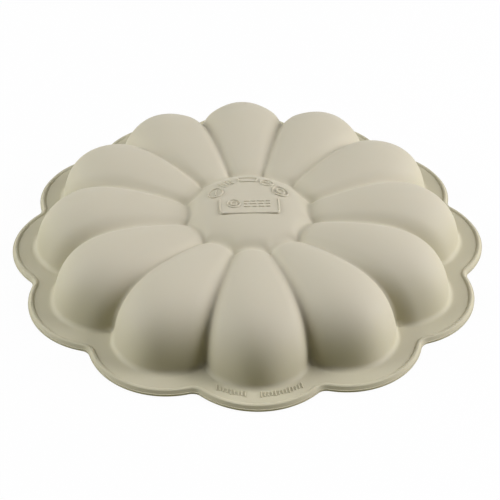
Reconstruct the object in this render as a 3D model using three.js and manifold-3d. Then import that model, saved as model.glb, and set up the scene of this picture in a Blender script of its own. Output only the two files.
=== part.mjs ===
// Silicone flower cake mould, turned over on its rim: petal cups round a shallow dome,
// set in a scalloped flange whose edge carries a raised bead.
// Millimetres, +Z up: the rim's underside is z = 0 and the flower's axis is the Z axis.
import * as THREE from "three";
import { mergeVertices } from "three/addons/utils/BufferGeometryUtils.js";
import Module from "manifold-3d";

const wasm = await Module();
wasm.setup();

// Whole mould
const OVERALL_DIAMETER = 270;
const PETAL_COUNT = 12;
const CROWN_HEIGHT = 35;
const WALL = 2;
const SEAM = 0.3; // clearance between neighbouring regions of the moulding

// Scalloped rim
const NOTCH_DEPTH = 9.3;
const NOTCH_FILLET = 6;
const FLANGE_WIDTH = 14.6; // from the petal's foot to the outer edge, bead included
const FLANGE_THICKNESS = 2.4;
const BEAD_WIDTH = 4.2;
const BEAD_HEIGHT = 4.4;
const BEAD_ROUND = 0.8;
const LIP_HEIGHT = 1.3; // thin lip under the parting line
const LIP_STEP = 0.5;

// Petals: an egg lying on the rim plane with its narrow end at the axis
const PETAL_HALF_WIDTH = 39.2;
const RIDGE_LEAN = 0.39; // moves the ridge's peak outwards
const RIDGE_FULLNESS = 0.22; // fills both ends of the ridge; below 0 it draws them in
const FOOT_LEAN = 0.5; // the same two for the outline of the petal's foot
const FOOT_FULLNESS = -0.45;
const FLANK_LEAN = 0.54; // 0.5 is an elliptic section; more leans the flanks in

// Dome with its flat pad
const DOME_BELOW_CROWN = 3.6;
const DOME_EDGE = 36; // radius where the dome meets the creases between the petals
const DOME_DROP = 7.9; // how far it has fallen there
const DOME_POWER = 3.5; // 2 is a paraboloid; more is flatter on top and rounder at the edge
const DOME_SPREAD = 42; // radius that the dome is drawn to before the petals trim it
const PAD_PROUD = 0.1;
const PAD_WIDTH = 34;
const PAD_FRONT = 11.5;
const PAD_SHOULDER = 1.1; // how far behind the axis the sides begin to draw in
const PAD_BACK = 7.6;
const PAD_BACK_WIDTH = 24;
const PAD_CORNER = 2.5;

// Facets
const PETAL_STATIONS = 10;
const PETAL_COLUMNS = 12;
const LOBE_STEPS = 8;
const NOTCH_STEPS = 2;
const CREST_STEPS = 3;
const DOME_SIDES = 36;
const DOME_STEPS = 7;

const RADIUS = OVERALL_DIAMETER / 2;
const PITCH = (2 * Math.PI) / PETAL_COUNT;
const HALF_PITCH = PITCH / 2;
const PETAL_LENGTH = RADIUS - FLANGE_WIDTH;
const DOME_TOP = CROWN_HEIGHT - DOME_BELOW_CROWN;
const BELOW = 1; // how far a cutter reaches past the rim plane

// A closed geometry as a solid that can be joined and cut.
function solid(geometry) {
  geometry.deleteAttribute("normal");
  geometry.deleteAttribute("uv");
  const merged = mergeVertices(geometry, 1e-4);
  return new wasm.Manifold(
    new wasm.Mesh({
      numProp: 3,
      vertProperties: merged.attributes.position.array,
      triVerts: new Uint32Array(merged.index.array),
    }),
  );
}

// A solid skinned over sections of equally many points. Each section runs anticlockwise when it is
// seen from the row's far end, and flat turns its points into that view.
function loft(sections, flat) {
  const count = sections[0].length;
  const positions = sections.flat().flatMap((point) => point.toArray());
  const index = [];
  for (let row = 0; row + 1 < sections.length; row++) {
    for (let column = 0; column < count; column++) {
      const here = row * count + column;
      const next = row * count + ((column + 1) % count);
      index.push(here, next, next + count, here, next + count, here + count);
    }
  }
  const last = (sections.length - 1) * count;
  for (const [a, b, c] of THREE.ShapeUtils.triangulateShape(sections[0].map(flat), [])) {
    index.push(c, b, a, last + a, last + b, last + c);
  }
  const geometry = new THREE.BufferGeometry();
  geometry.setAttribute("position", new THREE.Float32BufferAttribute(positions, 3));
  geometry.setIndex(index);
  return solid(geometry);
}

// The half outline of an egg as a share of its scale; turn runs from -90 degrees at the axis to 90.
function eggShape(turn, swell, fullness) {
  const x = Math.sin(turn);
  return Math.cos(turn) * (1 + swell * x + fullness * x * x);
}

// Its highest value.
function eggPeak(swell, fullness) {
  const samples = 400;
  const shares = Array.from({ length: samples }, (_, i) => i / samples - 0.5);
  return Math.max(...shares.map((share) => eggShape(share * Math.PI, swell, fullness)));
}

const RIDGE_SCALE = CROWN_HEIGHT / eggPeak(RIDGE_LEAN, RIDGE_FULLNESS);
const WIDTH_SCALE = PETAL_HALF_WIDTH / eggPeak(FOOT_LEAN, FOOT_FULLNESS);

// A point of the petal that lies along +X; lean is 0 on the ridge and 90 degrees at the foot.
function petalPoint(turn, lean) {
  const halfWidth = WIDTH_SCALE * eggShape(turn, FOOT_LEAN, FOOT_FULLNESS);
  const ridge = RIDGE_SCALE * eggShape(turn, RIDGE_LEAN, RIDGE_FULLNESS);
  return new THREE.Vector3(
    (PETAL_LENGTH / 2) * (1 + Math.sin(turn)),
    halfWidth * Math.sin(lean),
    ridge * Math.pow(Math.abs(Math.cos(lean)), 2 * FLANK_LEAN),
  );
}

// The outward normal of the petal at the same place.
function petalNormal(turn, lean) {
  const step = 1e-3;
  const along = petalPoint(turn + step, lean).sub(petalPoint(turn - step, lean));
  const inside = Math.PI / 2 - step;
  const held = THREE.MathUtils.clamp(lean, -inside, inside);
  const across = petalPoint(turn, held + step).sub(petalPoint(turn, held - step));
  const normal = along.cross(across);
  if (Math.abs(lean) > inside) normal.z = 0;
  return normal.normalize();
}

// The petal's body grown outwards by grow, from inside the dome to its outer end.
function petalBody(grow) {
  const first = -0.25 * Math.PI;
  const last = 0.49 * Math.PI;
  const sections = [];
  for (let row = 0; row <= PETAL_STATIONS; row++) {
    const turn = THREE.MathUtils.lerp(first, last, row / PETAL_STATIONS);
    const section = [];
    for (let column = 0; column <= PETAL_COLUMNS; column++) {
      const lean = (0.5 - column / PETAL_COLUMNS) * Math.PI;
      section.push(petalPoint(turn, lean).addScaledVector(petalNormal(turn, lean), grow));
    }
    section.push(section[PETAL_COLUMNS].clone().setZ(-BELOW));
    section.push(section[0].clone().setZ(-BELOW));
    sections.push(section);
  }
  return loft(sections, (point) => new THREE.Vector2(point.y, point.z));
}

// The slice of the flower that one petal has, short of its neighbours by half a seam each side.
function petalSlice() {
  const tip = SEAM / 2 / Math.sin(HALF_PITCH);
  const reach = OVERALL_DIAMETER;
  const side = (reach - tip) * Math.tan(HALF_PITCH);
  const shape = new THREE.Shape();
  shape.moveTo(tip, 0);
  shape.lineTo(reach, -side);
  shape.lineTo(reach, side);
  shape.closePath();
  const depth = 2 * CROWN_HEIGHT;
  return solid(new THREE.ExtrudeGeometry(shape, { depth, bevelEnabled: false }));
}

// A point of the dome's profile, grown outwards by grow.
function domePoint(radius, grow) {
  const share = radius / DOME_EDGE;
  const slope = ((DOME_DROP * DOME_POWER) / DOME_EDGE) * Math.pow(share, DOME_POWER - 1);
  const normal = new THREE.Vector2(slope, 1).normalize();
  const place = new THREE.Vector2(radius, DOME_TOP - DOME_DROP * Math.pow(share, DOME_POWER));
  return place.addScaledVector(normal, grow);
}

// The dome grown outwards by grow, on top of a column that stands on floor.
function domeColumn(grow, floor) {
  const profile = [new THREE.Vector2(0, floor)];
  for (let step = DOME_STEPS; step >= 0; step--) {
    profile.push(domePoint((DOME_SPREAD * step) / DOME_STEPS, grow));
  }
  profile.splice(1, 0, new THREE.Vector2(profile[1].x, floor));
  return solid(new THREE.LatheGeometry(profile, DOME_SIDES).rotateX(Math.PI / 2));
}

// The scalloped edge of one lobe, moved in by inset: half a notch, the lobe's arc, half a notch.
function lobeEdge(inset) {
  const notchReach = RADIUS - NOTCH_DEPTH + NOTCH_FILLET;
  const notchX = notchReach * Math.cos(HALF_PITCH);
  const notchY = notchReach * Math.sin(HALF_PITCH);
  const outer = RADIUS + NOTCH_FILLET;
  const lobeCentre = (outer * outer - notchReach * notchReach) / (2 * (outer - notchX));
  const lobe = RADIUS - lobeCentre - inset;
  const notch = NOTCH_FILLET + inset;
  const spread = Math.atan2(notchY, notchX - lobeCentre);
  const middle = Math.PI + HALF_PITCH;
  const end = Math.PI + spread;
  const arcs = [
    new THREE.EllipseCurve(notchX, -notchY, notch, notch, -middle, -end, true).getPoints(NOTCH_STEPS),
    new THREE.EllipseCurve(lobeCentre, 0, lobe, lobe, -spread, spread).getPoints(LOBE_STEPS),
    new THREE.EllipseCurve(notchX, notchY, notch, notch, end, middle, true).getPoints(NOTCH_STEPS),
  ];
  return [...arcs[0].slice(0, -1), ...arcs[1], ...arcs[2].slice(1)];
}

// The rim's section as insets from the outer edge against heights: lip, bead and flange.
function rimSection() {
  const inner = FLANGE_WIDTH + NOTCH_DEPTH;
  const corner = (inset, start) => {
    const shoulder = BEAD_HEIGHT - BEAD_ROUND;
    return new THREE.EllipseCurve(inset, shoulder, BEAD_ROUND, BEAD_ROUND, start, start + Math.PI / 2);
  };
  return [
    new THREE.Vector2(0, 0),
    new THREE.Vector2(inner, 0),
    new THREE.Vector2(inner, FLANGE_THICKNESS),
    new THREE.Vector2(BEAD_WIDTH, FLANGE_THICKNESS),
    ...corner(BEAD_WIDTH - BEAD_ROUND, 0).getPoints(CREST_STEPS),
    ...corner(LIP_STEP + BEAD_ROUND, Math.PI / 2).getPoints(CREST_STEPS),
    new THREE.Vector2(LIP_STEP, LIP_HEIGHT),
    new THREE.Vector2(0, LIP_HEIGHT),
  ];
}

// One lobe of the rim, before the petal's foot is cut out of it.
function rimLobe() {
  const section = rimSection();
  const edges = section.map((place) => lobeEdge(place.x));
  const sections = edges[0].map((_, station) =>
    section.map(({ y }, i) => new THREE.Vector3(edges[i][station].x, edges[i][station].y, y)),
  );
  return loft(sections, (point) => new THREE.Vector2(-Math.hypot(point.x, point.y), point.z));
}

// The flat pad on the dome: its front corners stand out of the dome and its sides draw in behind.
function domePad() {
  const side = PAD_WIDTH / 2;
  const back = PAD_BACK_WIDTH / 2;
  const shape = new THREE.Shape();
  shape.absarc(side - PAD_CORNER, PAD_CORNER - PAD_FRONT, PAD_CORNER, -Math.PI / 2, 0);
  shape.lineTo(side, PAD_SHOULDER);
  shape.lineTo(back, PAD_BACK);
  shape.lineTo(-back, PAD_BACK);
  shape.lineTo(-side, PAD_SHOULDER);
  shape.absarc(PAD_CORNER - side, PAD_CORNER - PAD_FRONT, PAD_CORNER, Math.PI, 1.5 * Math.PI);
  const options = { depth: DOME_TOP + PAD_PROUD, bevelEnabled: false, curveSegments: CREST_STEPS };
  return solid(new THREE.ExtrudeGeometry(shape, options));
}

// A node's mesh, with its own material.
function mesh(name, body) {
  const { numProp, vertProperties, triVerts } = body.getMesh();
  const interleaved = new THREE.InterleavedBuffer(vertProperties, numProp);
  const geometry = new THREE.BufferGeometry();
  geometry.setAttribute("position", new THREE.InterleavedBufferAttribute(interleaved, 3, 0));
  geometry.setIndex(new THREE.BufferAttribute(triVerts, 1));
  const flat = geometry.toNonIndexed();
  flat.computeVertexNormals();
  const material = new THREE.MeshStandardMaterial({ color: 0xc8c0ab, roughness: 0.62, metalness: 0 });
  const made = new THREE.Mesh(flat, material);
  made.name = name;
  return made;
}

const flower = new THREE.Group();
const slice = petalSlice();
const hollow = petalBody(-WALL);
const cup = petalBody(0).subtract(hollow).intersect(slice).subtract(domeColumn(SEAM, -BELOW));
const lobe = rimLobe().intersect(slice).subtract(petalBody(SEAM));

let dome = domeColumn(0, 0).add(domePad()).subtract(domeColumn(-WALL, -BELOW));
for (let petal = 0; petal < PETAL_COUNT; petal++) {
  const number = String(petal + 1).padStart(2, "0");
  const azimuth = petal * PITCH - Math.PI / 2;
  dome = dome.subtract(hollow.rotate([0, 0, THREE.MathUtils.radToDeg(azimuth)]));
  const petalCup = mesh(`petal_cup_${number}`, cup);
  petalCup.rotation.z = azimuth;
  const petalLobe = mesh(`rim_lobe_${number}`, lobe);
  petalLobe.rotation.z = azimuth;
  flower.add(petalCup, petalLobe);
}
flower.add(mesh("centre_dome", dome));

export default flower;
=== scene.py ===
import math

import bpy
import numpy as np
from mathutils import Matrix, Vector


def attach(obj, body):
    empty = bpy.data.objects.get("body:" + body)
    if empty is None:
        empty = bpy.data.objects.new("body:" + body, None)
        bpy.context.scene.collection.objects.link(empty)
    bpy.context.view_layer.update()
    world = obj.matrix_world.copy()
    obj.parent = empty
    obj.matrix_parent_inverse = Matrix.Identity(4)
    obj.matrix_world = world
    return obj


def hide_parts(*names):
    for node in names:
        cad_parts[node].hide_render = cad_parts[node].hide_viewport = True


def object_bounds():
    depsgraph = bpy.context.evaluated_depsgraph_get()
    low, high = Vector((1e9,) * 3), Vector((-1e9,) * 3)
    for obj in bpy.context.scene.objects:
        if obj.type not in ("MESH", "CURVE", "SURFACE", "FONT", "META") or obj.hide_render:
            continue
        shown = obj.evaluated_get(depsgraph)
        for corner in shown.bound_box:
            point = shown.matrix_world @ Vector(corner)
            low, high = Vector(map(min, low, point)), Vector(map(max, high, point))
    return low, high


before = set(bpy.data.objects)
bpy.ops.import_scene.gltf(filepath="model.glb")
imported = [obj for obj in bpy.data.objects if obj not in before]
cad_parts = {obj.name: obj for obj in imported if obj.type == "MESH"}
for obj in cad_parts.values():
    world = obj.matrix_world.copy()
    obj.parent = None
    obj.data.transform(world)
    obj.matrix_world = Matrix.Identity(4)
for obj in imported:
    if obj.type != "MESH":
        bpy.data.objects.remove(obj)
cad_low, cad_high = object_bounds()

# The whole, from the frame; sizes are in millimetres, and MM turns them into metres
MM = 0.001
RADIUS = (cad_high[0] - cad_low[0]) / 2 / MM
CROWN_HEIGHT = cad_high[2] / MM
PETALS = 12
HALF_PITCH = math.pi / PETALS
FRONT = -math.pi / 2
WALL = 2.0

# Scalloped flange
NOTCH_DEPTH = 9.3
NOTCH_FILLET = 6.0
FLANGE_WIDTH = 13.7
FLANGE_THICKNESS = 2.4

# Rim in section, as insets from the edge: a low bead, a ledge on the parting line and a lip below it
BEAD_ROOT = 3.6
BEAD_CREST = (2.7, 1.45)
BEAD_HEIGHT = 3.1
BEAD_ROUND = 0.55
LIP_HEIGHT = 1.3
LIP_STEP = 0.4
TIGHT_CORNER = 0.1
BASE_ROUND = 0.3

# Petals: eggs that lie on the resting plane with their narrow ends at the axis. A swell leans an oval
# outwards by its first number and fills both ends by its second, or draws them in below 0.
PETAL_LENGTH = RADIUS - FLANGE_WIDTH
PETAL_HALF_WIDTH = 39.2
RIDGE_SWELL = (0.385, 0.18)
WIDTH_SWELL = (0.5, -0.45)
LEAST_SWELL = 0.05
FLANK_LEAN = 0.54  # 0.5 is an elliptic section; more leans the flanks in

# Dome
DOME_BELOW_CROWN = 3.6
DOME_TOP = CROWN_HEIGHT - DOME_BELOW_CROWN
DOME_EDGE = 36.0
DOME_DROP = 7.9
DOME_POWER = 3.5

# The petals and the dome roll in to the creases between them, which deepen outwards; the foot is filleted
CREASE_WIDTH = 9.0
CREASE_DEPTH = 3.4
CREASE_ROUND = 1.2
DOME_CREASE_WIDTH = 4.0
DOME_CREASE_DEPTH = 1.3
FOOT_FILLET = 2.6

# Rounded mouth of the inside, and the turns in degrees at which its rows lie
MOUTH_ROUND = 0.6
MOUTH_TURNS = (31.5, 63, 90)

# Flat pad on the dome
PAD_HALF_WIDTH = 17.0
PAD_FRONT = 11.5
PAD_SHOULDER = 1.1
PAD_BACK = 7.6
PAD_BACK_HALF_WIDTH = 12.0
PAD_CORNER = 2.5
PAD_PROUD = 0.1
PAD_TOP = DOME_TOP + PAD_PROUD
PAD_ROUND = 0.35
PAD_SUNK = 0.5
PAD_CORNER_POINTS = 7
PAD_EDGE_RINGS = 5

# Raised marks: width and height of their lines, and how far these are let into the surface
BORDER_LINE = (0.9, 0.45)
PAD_LINE = (0.8, 0.6)
DOME_LINE = (0.85, 0.8)
FLANGE_LINE = (0.7, 0.6)
LINE_SUNK = 0.3
LINE_SIDES = 10
END_TURNS = (75, 50, 25)  # degrees of the rings that round off a line's end
OVAL_POINTS = 24
BAR_POINTS = 4
FRAME_POINTS = 40
FRAME_POWER = 0.25  # 1 is an oval; less is squarer

# Marks on the pad: a border, rings and rows of bars, each row as its place and its bars' lengths
BORDER_INSET = 0.6
RING_WIDTHS = (3.4, 7.2)
RING_PLACE = (-8.8, -2.5)
BARS_LEFT = -2.8
BAR_GAP = 1.7
BAR_ROWS = (
    (-0.2, (2.6, 1.6, 3.2, 1.8)),
    (-2.7, (1.4, 3.4, 2.2, 2.2)),
    (-5.2, (3.0, 1.8, 2.6, 1.8)),
)

# Marks on the front lobe: runs of ticks as first degree, last degree and count, on a curve whose radius falls
# by TICK_BEND at TICK_BEND_AT degrees from the front
TICK_RUNS = ((-10.2, -3.3, 9), (0.4, 10.4, 13))
TICK_RADIUS = 125.2
TICK_BEND = 4.0
TICK_BEND_AT = 10.3
TICK_HALF_LENGTH = 1.2
LONG_TICK_HALF_LENGTH = 1.7
LONG_TICK_EVERY = 4

# Grid of the skin: azimuth steps in one petal, then rows from the axis out and back underneath
PETAL_STEPS = 44
DOME_ROWS = 22
PETAL_ROWS = 56
FLANGE_ROWS = 14
CORNER_ROWS = 6
INNER_ROWS = 44
EVEN_STEPS = 0.25  # share of the steps' spacing that is even; the rest is closer at both ends
EVEN_ROWS = 0.45  # the same for the rows

# Search for the petals' edges and settling of the grid onto the surface
JOIN_RANGE = (20.0, 60.0)
FOOT_FROM = 0.7 * PETAL_LENGTH
NEAR_GROUND = 0.02
HALVINGS = 60
PEAK_POINTS = 2001
PROFILE_POINTS = 1500
PROBE = 0.02
SETTLE_ROUNDS = 6
LONGEST_MOVE = 1.5
LEAST_STEEPNESS = 0.05
TINY = 1e-9

# Silicone: colour near the resting plane, olive as painted shade, and on the crown, paler as a painted
# highlight
LOW_PAINTED_SHADE_TINT = (0.498, 0.468, 0.331)
TOP_PAINTED_HIGHLIGHT_TINT = (0.516, 0.480, 0.366)

# Camera, with its angles in degrees and its distance in radii of the mould
CAMERA_AZIMUTH = -93.1
CAMERA_ELEVATION = 38.364
CAMERA_DISTANCE = 5.8855
CAMERA_TILT = -0.2185
CAMERA_PAN = -0.0624
CAMERA_ROLL = -0.882
CAMERA_LENS = 99.12
CAMERA_SENSOR = 36

# Stage, in metres
LAMP_DISTANCE = 1.3
FLOOR_HALF = 3.0
FLOOR_BELOW = 0.0002
FLOOR_GLOW = 0.96  # share of plain white in the floor as it is seen
FLOOR_BOUNCE = (0.33, 0.315, 0.10)  # its colour in the light that it throws on the mould


def swollen(along, swell):
    """Swell of an egg against an even oval; along runs from -1 at the axis to 1 at the foot."""
    return 1 + swell[0] * along + swell[1] * along * along


def egg_peak(swell):
    """Highest value of a swollen oval."""
    along = np.linspace(-1, 1, PEAK_POINTS)
    return (np.sqrt(1 - along * along) * swollen(along, swell)).max()


RIDGE_SCALE = CROWN_HEIGHT / egg_peak(RIDGE_SWELL)
WIDTH_SCALE = PETAL_HALF_WIDTH / egg_peak(WIDTH_SWELL)


def petal_egg(distance):
    """An oval along the petal, squared, and the petal's height and half width as multiples of the oval."""
    along = 2 * distance / PETAL_LENGTH - 1
    height = RIDGE_SCALE * swollen(along, RIDGE_SWELL)
    width = WIDTH_SCALE * np.maximum(swollen(along, WIDTH_SWELL), LEAST_SWELL)
    return 1 - along * along, height, width


def petal_height(radius, azimuth):
    """Height of a petal's roof over a point, 0 outside its foot; azimuth counts from the petal's middle."""
    squared, height, width = petal_egg(radius * np.cos(azimuth))
    root = np.sqrt(np.clip(squared, TINY, None))
    across = radius * np.sin(azimuth) / (width * root)
    return height * root * np.clip(1 - across * across, 0, None) ** FLANK_LEAN


def dome_height(radius):
    """Height of the dome: level on top and falling ever faster to its edge."""
    return DOME_TOP - DOME_DROP * (radius / DOME_EDGE) ** DOME_POWER


def dome_slope(radius):
    """How steeply the dome falls outwards."""
    return DOME_DROP * DOME_POWER / DOME_EDGE * (radius / DOME_EDGE) ** (DOME_POWER - 1)


def petal_level(x, y, z):
    """Below 0 inside the petal that lies along +X and above 0 outside it."""
    squared, height, width = petal_egg(x)
    lift = (np.clip(z, 0, None) / height) ** (1 / FLANK_LEAN)
    lift = lift * np.clip(squared, TINY, None) ** (1 - 0.5 / FLANK_LEAN)
    return (y / width) ** 2 + lift - squared


def slopes(value, points, axes=3):
    """How fast a function of x, y and z grows along each axis, at many points; later axes count as 0."""
    slope = np.zeros_like(points)
    for axis in range(axes):
        ahead = points.copy()
        ahead[:, axis] += PROBE
        behind = points.copy()
        behind[:, axis] -= PROBE
        slope[:, axis] = (value(*ahead.T) - value(*behind.T)) / (2 * PROBE)
    return slope


def petal_distance(x, y, z):
    """The level divided by its slope: close to a distance near the surface."""
    slope = np.linalg.norm(slopes(petal_level, np.stack([x, y, z], -1)), axis=1)
    return petal_level(x, y, z) / np.maximum(slope, TINY)


def filleted_union(a, b, fillet):
    """The lower of two distances, with a round fillet in the corner between the two surfaces."""
    corner = np.hypot(np.clip(fillet - a, 0, None), np.clip(fillet - b, 0, None))
    return np.maximum(fillet, np.minimum(a, b)) - corner


def creased_union(a, b, width, depth):
    """The lower of two distances, drawn in along a round-bottomed crease where they are nearly equal."""
    apart = np.abs(a - b)
    fill = np.clip(2 * CREASE_ROUND - apart, 0, None) ** 2 / (8 * CREASE_ROUND)
    rounded_apart = np.hypot(apart, CREASE_ROUND) - CREASE_ROUND
    near = np.clip(1 - rounded_apart / np.maximum(width, TINY), 0, None)
    return np.minimum(a, b) - fill + depth * near * near


def petals_and_dome(x, y, z):
    """Distance to the roof of the moulding, in the slice whose petal lies along +X."""
    turn = 2 * HALF_PITCH
    side = np.where(y < 0, -1.0, 1.0)
    beside_x = x * math.cos(turn) + side * y * math.sin(turn)
    beside_y = side * y * math.cos(turn) - x * math.sin(turn)
    radius = np.hypot(x, y)
    outwards = radius / PETAL_LENGTH
    petals = creased_union(
        petal_distance(x, y, z),
        petal_distance(beside_x, beside_y, z),
        CREASE_WIDTH * outwards,
        CREASE_DEPTH * outwards,
    )
    dome = (z - dome_height(radius)) / np.sqrt(1 + dome_slope(radius) ** 2)
    return creased_union(petals, dome, DOME_CREASE_WIDTH, DOME_CREASE_DEPTH)


def outer_distance(x, y, z):
    """Distance to the outside: petals and dome standing on the flange."""
    return filleted_union(petals_and_dome(x, y, z), z - FLANGE_THICKNESS, FOOT_FILLET)


def inner_distance(x, y, z):
    """Distance to the inside, one wall below the roof."""
    return petals_and_dome(x, y, z) + WALL


def settle(points, distance, level=False):
    """Moves points onto the surface where distance is 0; level keeps their height."""
    for _ in range(SETTLE_ROUNDS):
        slope = slopes(distance, points, 2 if level else 3)
        steepness = np.maximum((slope * slope).sum(1), LEAST_STEEPNESS)
        move = np.clip(distance(*points.T) / steepness, -LONGEST_MOVE, LONGEST_MOVE)
        points = points - slope * move[:, None]
    return points


def edge_radius(azimuth, inset):
    """Distance from the axis to the scalloped edge, moved in by inset: a lobe's arc or a notch's."""
    reach = RADIUS - NOTCH_DEPTH + NOTCH_FILLET
    outer = RADIUS + NOTCH_FILLET
    centre = (outer**2 - reach**2) / (2 * (outer - reach * math.cos(HALF_PITCH)))
    lobe = RADIUS - centre - inset
    notch = NOTCH_FILLET + inset
    spread = math.atan2(reach * math.sin(HALF_PITCH), reach * math.cos(HALF_PITCH) - centre)
    touch = math.atan2(lobe * math.sin(spread), centre + lobe * math.cos(spread))
    off = HALF_PITCH - np.abs(azimuth)
    on_lobe = centre * np.cos(azimuth) + np.sqrt(lobe**2 - (centre * np.sin(azimuth)) ** 2)
    on_notch = reach * np.cos(off) - np.sqrt(np.clip(notch**2 - (reach * np.sin(off)) ** 2, 0, None))
    return np.where(np.abs(azimuth) < touch, on_lobe, on_notch)


def rounded(corners):
    """A broken line of corners (inset, height, rounding), with all but its ends turned into curves."""
    points = []
    for before, here, after in zip(corners, corners[1:], corners[2:]):
        corner = np.array(here[:2])
        back = np.array(before[:2]) - corner
        ahead = np.array(after[:2]) - corner
        back = back / np.linalg.norm(back) * here[2]
        ahead = ahead / np.linalg.norm(ahead) * here[2]
        for share in np.linspace(0, 1, CORNER_ROWS):
            points.append(corner + back * (1 - share) ** 2 + ahead * share**2)
    return points


def rim_section():
    """Insets and heights of the rim, from the bead's inner root over its crest to the resting plane."""
    return rounded([
        (FLANGE_WIDTH, FLANGE_THICKNESS, 0),
        (BEAD_ROOT, FLANGE_THICKNESS, TIGHT_CORNER),
        (BEAD_CREST[0], BEAD_HEIGHT, BEAD_ROUND),
        (BEAD_CREST[1], BEAD_HEIGHT, BEAD_ROUND),
        (LIP_STEP, LIP_HEIGHT, TIGHT_CORNER),
        (0, LIP_HEIGHT, TIGHT_CORNER),
        (0, 0, BASE_ROUND),
        (FLANGE_WIDTH, 0, 0),
    ])


def crossing(value, low, high):
    """Where a falling function of the radius passes 0, for every azimuth at once."""
    for _ in range(HALVINGS):
        middle = (low + high) / 2
        above = value(middle) > 0
        low = np.where(above, middle, low)
        high = np.where(above, high, middle)
    return (low + high) / 2


def eased(count):
    """Shares above 0 and up to 1 that lie closer together at both ends."""
    share = np.linspace(0, 1, count + 1)[1:]
    return EVEN_ROWS * share + (1 - EVEN_ROWS) * (0.5 - 0.5 * np.cos(math.pi * share))


def polar(radius, azimuth, height):
    """Rows of points from radii and heights over the slice's azimuths."""
    height = np.broadcast_to(height, radius.shape)
    return np.stack([radius * np.cos(azimuth), radius * np.sin(azimuth), height], -1)


def along_profile(azimuth, start, end, floor, shares):
    """Radii and heights of a petal's roof at one azimuth, spaced by length along it."""
    radius = end - (end - start) * np.linspace(1, 0, PROFILE_POINTS) ** 3
    height = np.maximum(petal_height(radius, azimuth), floor)
    height[-1] = floor
    length = np.concatenate([[0], np.cumsum(np.hypot(np.diff(radius), np.diff(height)))])
    wanted = shares * length[-1]
    return np.interp(wanted, length, radius), np.interp(wanted, length, height)


def foot_radius(azimuth, height):
    """Where the outer end of a petal's roof has come down to a height."""
    near = np.full(azimuth.shape, FOOT_FROM)
    far = np.full(azimuth.shape, PETAL_LENGTH)
    return crossing(lambda radius: petal_height(radius, azimuth) - height, near, far)


def dome_and_petal_rows(azimuth, join, end, floor, count):
    """Rows from near the axis out over the dome to its join with the petal, then count rows to the end."""
    rows = [polar(join * share, azimuth, dome_height(join * share)) for share in eased(DOME_ROWS)]
    shares = eased(count)
    columns = [along_profile(*place, floor, shares) for place in zip(azimuth, join, end)]
    for radius, height in np.array(columns).transpose(2, 1, 0):
        rows.append(polar(radius, azimuth, height))
    return rows


def settled_rows(rows, distance, azimuth):
    """Rows moved onto a surface, and those of the dome turned back to the azimuths that they started from."""
    rows = settle(np.concatenate(rows), distance).reshape(len(rows), -1, 3)
    dome = rows[:DOME_ROWS]
    rows[:DOME_ROWS] = polar(np.hypot(dome[..., 0], dome[..., 1]), azimuth, dome[..., 2])
    return list(rows)


def outer_rows(azimuth, join):
    """Rows over the outside: the dome, the petal and the flange up to the bead."""
    foot = foot_radius(azimuth, FLANGE_THICKNESS)
    rows = dome_and_petal_rows(azimuth, join, foot, FLANGE_THICKNESS, PETAL_ROWS)
    start = foot + FOOT_FILLET / 4  # within the fillet, as the level has no sound slope at the petal's end
    root = edge_radius(azimuth, BEAD_ROOT + TIGHT_CORNER)
    for share in eased(FLANGE_ROWS)[:-1]:
        rows.append(polar(start + (root - start) * share, azimuth, FLANGE_THICKNESS))
    return settled_rows(rows, outer_distance, azimuth)


def inner_rows(azimuth, join):
    """Rows over the inside, from under the dome to the rounded mouth at the resting plane."""
    rows = dome_and_petal_rows(azimuth, join, foot_radius(azimuth, NEAR_GROUND), 0.0, INNER_ROWS)
    rows = settled_rows(rows, inner_distance, azimuth)
    while rows[-1][:, 2].min() < 2 * MOUTH_ROUND:
        rows.pop()
    mouth = rows[-1].copy()
    mouth[:, 2] = MOUTH_ROUND
    mouth = settle(mouth, inner_distance, level=True)
    rows.append(mouth)
    mouth_radius = np.hypot(mouth[:, 0], mouth[:, 1])
    mouth_azimuth = np.arctan2(mouth[:, 1], mouth[:, 0])
    for turn in np.radians(MOUTH_TURNS):
        out = MOUTH_ROUND * (1 - math.cos(turn))
        rows.append(polar(mouth_radius + out, mouth_azimuth, MOUTH_ROUND * (1 - math.sin(turn))))
    return rows


def slice_rows():
    """Rows of the skin over one petal's slice, from the dome's top over the rim to the dome's underside."""
    share = np.linspace(-1, 1, PETAL_STEPS + 1)
    azimuth = HALF_PITCH * (EVEN_STEPS * share + (1 - EVEN_STEPS) * np.sin(share * math.pi / 2))
    near, far = (np.full(azimuth.shape, limit) for limit in JOIN_RANGE)
    join = crossing(lambda radius: dome_height(radius) - petal_height(radius, azimuth), near, far)
    rim = [polar(edge_radius(azimuth, inset), azimuth, height) for inset, height in rim_section()]
    return outer_rows(azimuth, join) + rim + inner_rows(azimuth, join)[::-1]


def turned(points, angle):
    """Points turned about the mould's axis."""
    x, y, z = points.T
    turned_x = x * math.cos(angle) - y * math.sin(angle)
    turned_y = x * math.sin(angle) + y * math.cos(angle)
    return np.stack([turned_x, turned_y, z], -1)


def skin_shell():
    """The whole moulding as one closed skin: twelve slices side by side and a point at each pole."""
    rows = slice_rows()
    ring = PETALS * PETAL_STEPS
    points = []
    for row in rows:
        for petal in range(PETALS):
            points.append(turned(row[:-1], FRONT + petal * 2 * HALF_PITCH))
    points = np.concatenate(points + [[[0, 0, DOME_TOP]], [[0, 0, DOME_TOP - WALL]]])
    top = len(rows) * ring
    last = (len(rows) - 1) * ring
    faces = []
    for step in range(ring):
        after = (step + 1) % ring
        faces.append((top, step, after))
        faces.append((top + 1, last + after, last + step))
        for row in range(len(rows) - 1):
            here = row * ring
            faces.append((here + step, here + ring + step, here + ring + after, here + after))
    return points, faces


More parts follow.
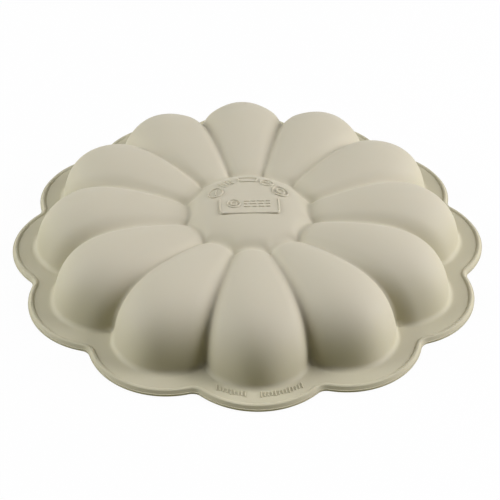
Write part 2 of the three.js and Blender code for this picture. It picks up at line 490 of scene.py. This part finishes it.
def tube_faces(rings, sides, closed):
    """Faces round rings of points, joined end to end or closed by a face at each end."""
    faces = []
    for ring in range(rings if closed else rings - 1):
        here = ring * sides
        there = (ring + 1) % rings * sides
        for side in range(sides):
            after = (side + 1) % sides
            faces.append((here + side, here + after, there + after, there + side))
    if not closed:
        faces.append(tuple(range(sides))[::-1])
        faces.append(tuple(range((rings - 1) * sides, rings * sides)))
    return faces


def pad_outline(inset):
    """The pad's edge as a ring of points, moved in by inset."""
    side = PAD_HALF_WIDTH - inset
    corner = PAD_CORNER - inset
    right = [
        (side - corner + corner * math.sin(turn), corner - corner * math.cos(turn) - PAD_FRONT + inset)
        for turn in np.linspace(0, math.pi / 2, PAD_CORNER_POINTS)
    ]
    right += [(side, PAD_SHOULDER), (PAD_BACK_HALF_WIDTH - inset, PAD_BACK - inset)]
    return np.array(right + [(-x, y) for x, y in right[::-1]])


def pad_shell():
    """The pad as a plate with a rounded edge, let into the dome."""
    foot = pad_outline(0)
    rings = [np.column_stack([foot, dome_height(np.hypot(*foot.T)) - PAD_SUNK])]
    levels = [
        (PAD_ROUND * (1 - math.cos(turn)), PAD_TOP - PAD_ROUND * (1 - math.sin(turn)))
        for turn in np.linspace(0, math.pi / 2, PAD_EDGE_RINGS)
    ]
    for inset, height in levels + [(2 * PAD_ROUND, PAD_TOP)]:
        rings.append(np.column_stack([pad_outline(inset), np.full(len(foot), height)]))
    return np.concatenate(rings), tube_faces(len(rings), len(foot), False)


def line_shell(path, up, line, closed=False):
    """A raised line with a round top and round ends, along a path on a surface whose normals are up."""
    width, height = line
    ahead = np.roll(path, -1, 0) - np.roll(path, 1, 0)
    if not closed:
        ahead[0] = path[1] - path[0]
        ahead[-1] = path[-1] - path[-2]
    ahead = ahead / np.linalg.norm(ahead, axis=1)[:, None]
    stations = [(point, 1.0) for point in path]
    directions = list(zip(ahead, up))
    if not closed:
        ends = [(width / 2 * math.sin(turn), math.cos(turn)) for turn in np.radians(END_TURNS)]
        stations = [(path[0] - ahead[0] * out, share) for out, share in ends] + stations
        stations += [(path[-1] + ahead[-1] * out, share) for out, share in ends[::-1]]
        directions = [directions[0]] * len(ends) + directions + [directions[-1]] * len(ends)
    rings = []
    for (point, share), (along, normal) in zip(stations, directions):
        across = np.cross(normal, along)
        for turn in np.linspace(0, 2 * math.pi, LINE_SIDES, endpoint=False):
            rise = math.sin(turn)
            lift = share * (height if rise > 0 else LINE_SUNK) * rise
            rings.append(point + across * (share * width / 2 * math.cos(turn)) + normal * lift)
    return np.array(rings), tube_faces(len(stations), LINE_SIDES, closed)


def on_dome(x, y):
    """Points of the dome over x and y, and its normals there."""
    radius = np.hypot(x, y)
    points = np.column_stack([x, y, dome_height(radius)])
    lean = dome_slope(radius) / radius
    up = np.column_stack([x * lean, y * lean, np.ones(len(x))])
    return points, up / np.linalg.norm(up, axis=1)[:, None]


def on_level(x, y, height):
    """Points over x and y on a level surface, and its normals there."""
    points = np.column_stack([x, y, np.full(len(x), height)])
    return points, np.tile((0.0, 0.0, 1.0), (len(x), 1))


def oval(width, height):
    """A ring of points round the middle of a mark."""
    turn = np.linspace(0, 2 * math.pi, OVAL_POINTS, endpoint=False)
    return width / 2 * np.cos(turn), height / 2 * np.sin(turn)


def bar(start, end):
    """Points along a straight stroke of a mark."""
    return np.linspace(start, end, BAR_POINTS).T


def rounded_frame(width, height):
    """A frame with rounded corners round the middle of a mark."""
    turn = np.linspace(0, 2 * math.pi, FRAME_POINTS, endpoint=False)
    x = np.sign(np.cos(turn)) * np.abs(np.cos(turn)) ** FRAME_POWER
    y = np.sign(np.sin(turn)) * np.abs(np.sin(turn)) ** FRAME_POWER
    return width / 2 * x, height / 2 * y


def dome_marks():
    """Five plain marks on an arc behind the pad."""
    # Each mark has its degrees round the dome, its distance from the axis, and strokes that may be closed
    marks = [
        (153, 20.9, [(oval(9.6, 8.0), True), (bar((-2.4, -1), (2.4, 1)), False)]),
        (123, 22.6, [(bar((across, -2.8), (across, 2.8)), False) for across in (-3.6, -1.2, 1.2, 3.6)]),
        (90, 22.7, [(rounded_frame(10.6, 5.2), True)]),
        (60, 21.7, [(oval(7.6, 6.6), True), (bar((-1.8, 0), (1.8, 0)), False)]),
        (29, 20.7, [(oval(10.4, 8.2), True), (oval(5.2, 3.8), True)]),
    ]
    shells = []
    for azimuth, radius, strokes in marks:
        for (across, outward), closed in strokes:
            turn = math.radians(azimuth) - across / radius
            reach = radius + outward
            path, up = on_dome(reach * np.cos(turn), reach * np.sin(turn))
            shells.append(line_shell(path, up, DOME_LINE, closed))
    return shells


def pad_marks():
    """The pad's thin border, open at the back, with two plain rings and three rows of bars inside it."""
    edge = pad_outline(BORDER_INSET)
    half = len(edge) // 2
    border = np.concatenate([edge[half + 1 :], edge[: half - 1]])
    shells = [line_shell(*on_level(*border.T, PAD_TOP), BORDER_LINE)]
    for width in RING_WIDTHS:
        x, y = oval(width, width)
        shells.append(line_shell(*on_level(x + RING_PLACE[0], y + RING_PLACE[1], PAD_TOP), PAD_LINE, True))
    for row, lengths in BAR_ROWS:
        left = BARS_LEFT
        for length in lengths:
            stroke = bar((left, row), (left + length, row))
            shells.append(line_shell(*on_level(*stroke, PAD_TOP), PAD_LINE))
            left += length + BAR_GAP
    return shells


def flange_marks():
    """Two runs of plain ticks on the front lobe, between the petal's foot and the bead."""
    shells = []
    for first, last, count in TICK_RUNS:
        for step, offset in enumerate(np.linspace(first, last, count)):
            middle = TICK_RADIUS - TICK_BEND * (offset / TICK_BEND_AT) ** 2
            half = TICK_HALF_LENGTH if step % LONG_TICK_EVERY else LONG_TICK_HALF_LENGTH
            turn = FRONT + math.radians(offset)
            x, y = bar(
                ((middle - half) * math.cos(turn), (middle - half) * math.sin(turn)),
                ((middle + half) * math.cos(turn), (middle + half) * math.sin(turn)),
            )
            shells.append(line_shell(*on_level(x, y, FLANGE_THICKNESS), FLANGE_LINE))
    return shells


def set_sockets(node, sockets):
    """Sets values on a node's input sockets by name."""
    for name, value in sockets.items():
        node.inputs[name].default_value = value


def add_node(tree, kind, sockets=None):
    """A new node in a tree, with values on its input sockets by name."""
    node = tree.nodes.new(kind)
    set_sockets(node, sockets or {})
    return node


def silicone():
    """Matte greige silicone: paler on the raised tops as a painted highlight and more olive low down as
    painted shade, faintly cloudy, with a fine blasted grain.
    """
    material = bpy.data.materials.new("silicone")
    material.use_nodes = True
    tree = material.node_tree
    shader = tree.nodes["Principled BSDF"]
    set_sockets(shader, {
        "Specular IOR Level": 0.3,
        "Subsurface Weight": 0.08,
        "Subsurface Radius": (0.0015, 0.001, 0.0006),
        "Subsurface Scale": 0.5,
        "Sheen Weight": 0.08,
        "Sheen Roughness": 0.45,
    })
    place = add_node(tree, "ShaderNodeTexCoord")
    cloud = add_node(tree, "ShaderNodeTexNoise", {"Scale": 38, "Detail": 5})
    grain = add_node(tree, "ShaderNodeTexNoise", {"Scale": 2600, "Detail": 3})
    split = add_node(tree, "ShaderNodeSeparateXYZ")
    # The height ramp paints light into the base colour: painted shade low down, a painted highlight on the
    # crown, with random cloud added
    lift = add_node(tree, "ShaderNodeMapRange", {
        "From Min": 0,
        "From Max": CROWN_HEIGHT * MM,
        "To Min": -0.3,
        "To Max": 0.7,
    })
    cloud_and_painted_light = add_node(tree, "ShaderNodeMath")
    cloud_and_painted_light.operation = "ADD"
    painted_light_tint = add_node(tree, "ShaderNodeValToRGB")
    # The low end of the ramp holds the painted shade colour and the top end the painted highlight colour
    low, top = painted_light_tint.color_ramp.elements
    low.position = 0.2
    low.color = (*LOW_PAINTED_SHADE_TINT, 1)
    top.position = 1.0
    top.color = (*TOP_PAINTED_HIGHLIGHT_TINT, 1)
    rough = add_node(tree, "ShaderNodeMapRange", {"To Min": 0.6, "To Max": 0.7})
    bump = add_node(tree, "ShaderNodeBump", {"Strength": 0.12, "Distance": 0.0002})
    for reader in (cloud, grain, split):
        tree.links.new(place.outputs["Object"], reader.inputs["Vector"])
    tree.links.new(split.outputs["Z"], lift.inputs["Value"])
    tree.links.new(cloud.outputs["Fac"], cloud_and_painted_light.inputs[0])
    tree.links.new(lift.outputs["Result"], cloud_and_painted_light.inputs[1])
    tree.links.new(cloud_and_painted_light.outputs["Value"], painted_light_tint.inputs["Fac"])
    tree.links.new(painted_light_tint.outputs["Color"], shader.inputs["Base Color"])
    tree.links.new(cloud.outputs["Fac"], rough.inputs["Value"])
    tree.links.new(rough.outputs["Result"], shader.inputs["Roughness"])
    tree.links.new(grain.outputs["Fac"], bump.inputs["Height"])
    tree.links.new(bump.outputs["Normal"], shader.inputs["Normal"])
    return material


def add_moulded(name, shells, material):
    """One piece of the moulding from closed shells of points in millimetres and faces."""
    points = []
    faces = []
    for shell_points, shell_faces in shells:
        base = len(points)
        points += (shell_points * MM).tolist()
        faces += [tuple(base + corner for corner in face) for face in shell_faces]
    mesh = bpy.data.meshes.new(name)
    mesh.from_pydata(points, [], faces)
    mesh.polygons.foreach_set("use_smooth", [True] * len(mesh.polygons))
    mesh.update()
    mesh.materials.append(material)
    piece = bpy.data.objects.new(name, mesh)
    bpy.context.scene.collection.objects.link(piece)
    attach(piece, "root")
    return piece


def add_mould():
    """The skin in place of the solids that it covers, with its pad and raised marks."""
    material = silicone()
    skin = add_moulded("mould_skin", [skin_shell()], material)
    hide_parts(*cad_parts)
    add_moulded("dome_pad", [pad_shell()], material)
    add_moulded("pad_marks", pad_marks(), material)
    add_moulded("dome_marks", dome_marks(), material)
    add_moulded("flange_marks", flange_marks(), material)


def bearing(azimuth, elevation, distance):
    """A place seen from the mould's middle at two angles in degrees."""
    turn = math.radians(azimuth)
    rise = math.radians(elevation)
    level = math.cos(rise)
    return distance * Vector((level * math.cos(turn), level * math.sin(turn), math.sin(rise)))


def add_camera():
    """The photograph's viewpoint, as fitted to the scalloped outline."""
    position = bearing(CAMERA_AZIMUTH, CAMERA_ELEVATION, CAMERA_DISTANCE * RADIUS * MM)
    forward = -position.normalized()
    right = forward.cross(Vector((0, 0, 1))).normalized()
    up = right.cross(forward)
    tilt = Matrix.Rotation(math.radians(CAMERA_TILT), 3, right)
    forward = tilt @ forward
    up = tilt @ up
    pan = Matrix.Rotation(math.radians(CAMERA_PAN), 3, up)
    forward = pan @ forward
    right = pan @ right
    roll = Matrix.Rotation(math.radians(CAMERA_ROLL), 3, forward)
    up = roll @ up
    right = roll @ right
    data = bpy.data.cameras.new("camera")
    data.sensor_width = CAMERA_SENSOR
    data.lens = CAMERA_LENS
    data.clip_start = 0.01
    camera = bpy.data.objects.new("camera", data)
    camera.matrix_world = Matrix((right, up, -forward)).transposed().to_4x4()
    camera.location = position
    bpy.context.scene.collection.objects.link(camera)
    bpy.context.scene.camera = camera


def add_lamp(name, azimuth, elevation, size, power, colour):
    """A soft box at a bearing from the mould, turned to face it."""
    data = bpy.data.lights.new(name, "AREA")
    data.shape = "RECTANGLE"
    data.size, data.size_y = size
    data.energy = power
    data.color = colour
    lamp = bpy.data.objects.new(name, data)
    lamp.location = bearing(azimuth, elevation, LAMP_DISTANCE)
    lamp.rotation_euler = (-lamp.location).to_track_quat("-Z", "Y").to_euler()
    bpy.context.scene.collection.objects.link(lamp)


def add_lamps():
    """Large soft boxes at both sides and a weak one overhead, with nothing from the front."""
    add_lamp("right_light", azimuth=0, elevation=28, size=(0.7, 1.0), power=22.2, colour=(0.96, 0.946, 1))
    add_lamp("left_light", azimuth=177, elevation=30, size=(0.85, 1.0), power=16.7, colour=(0.961, 0.97, 1))
    add_lamp("back_light", azimuth=90, elevation=80, size=(0.8, 0.6), power=2.2, colour=(1, 0.97, 1))


def show_as_background(tree, seen, otherwise, output):
    """Gives a tree one shader for rays that show the background, straight or in gloss or glass, and another
    for the rays that light the mould."""
    path = add_node(tree, "ShaderNodeLightPath")
    shows = path.outputs["Is Camera Ray"]
    for kind in ("Is Glossy Ray", "Is Transmission Ray"):
        either = add_node(tree, "ShaderNodeMath")
        either.operation = "MAXIMUM"
        tree.links.new(shows, either.inputs[0])
        tree.links.new(path.outputs[kind], either.inputs[1])
        shows = either.outputs["Value"]
    mix = add_node(tree, "ShaderNodeMixShader")
    tree.links.new(shows, mix.inputs["Fac"])
    tree.links.new(otherwise, mix.inputs[1])
    tree.links.new(seen, mix.inputs[2])
    tree.links.new(mix.outputs["Shader"], tree.nodes[output].inputs["Surface"])


def add_world():
    """A white background that gives no light of its own."""
    world = bpy.data.worlds.new("world")
    bpy.context.scene.world = world
    world.use_nodes = True
    tree = world.node_tree
    dark = tree.nodes["Background"]
    set_sockets(dark, {"Strength": 0})
    white = add_node(tree, "ShaderNodeBackground", {"Color": (1, 1, 1, 1)})
    show_as_background(tree, white.outputs["Background"], dark.outputs["Background"], "World Output")


def floor_white():
    """White that keeps a faint shadow where it is seen, and throws only a dim warm light on the mould."""
    material = bpy.data.materials.new("floor_white")
    material.use_nodes = True
    tree = material.node_tree
    lit = tree.nodes["Principled BSDF"]
    set_sockets(lit, {"Base Color": (0.8, 0.8, 0.8, 1), "Roughness": 0.9})
    glow = add_node(tree, "ShaderNodeEmission", {"Strength": 1})
    seen = add_node(tree, "ShaderNodeMixShader", {"Fac": FLOOR_GLOW})
    tree.links.new(lit.outputs["BSDF"], seen.inputs[1])
    tree.links.new(glow.outputs["Emission"], seen.inputs[2])
    bounce = add_node(tree, "ShaderNodeBsdfDiffuse", {"Color": (*FLOOR_BOUNCE, 1)})
    show_as_background(tree, seen.outputs["Shader"], bounce.outputs["BSDF"], "Material Output")
    return material


def add_floor():
    """A wide white floor just below the mould."""
    corners = [(x * FLOOR_HALF, y * FLOOR_HALF, 0) for x, y in ((-1, -1), (1, -1), (1, 1), (-1, 1))]
    mesh = bpy.data.meshes.new("floor")
    mesh.from_pydata(corners, [], [(0, 1, 2, 3)])
    mesh.materials.append(floor_white())
    floor = bpy.data.objects.new("floor", mesh)
    floor.location.z = -FLOOR_BELOW
    bpy.context.scene.collection.objects.link(floor)


add_camera()
add_mould()
add_lamps()
add_world()
add_floor()
bpy.context.scene.view_settings.view_transform = "Standard"
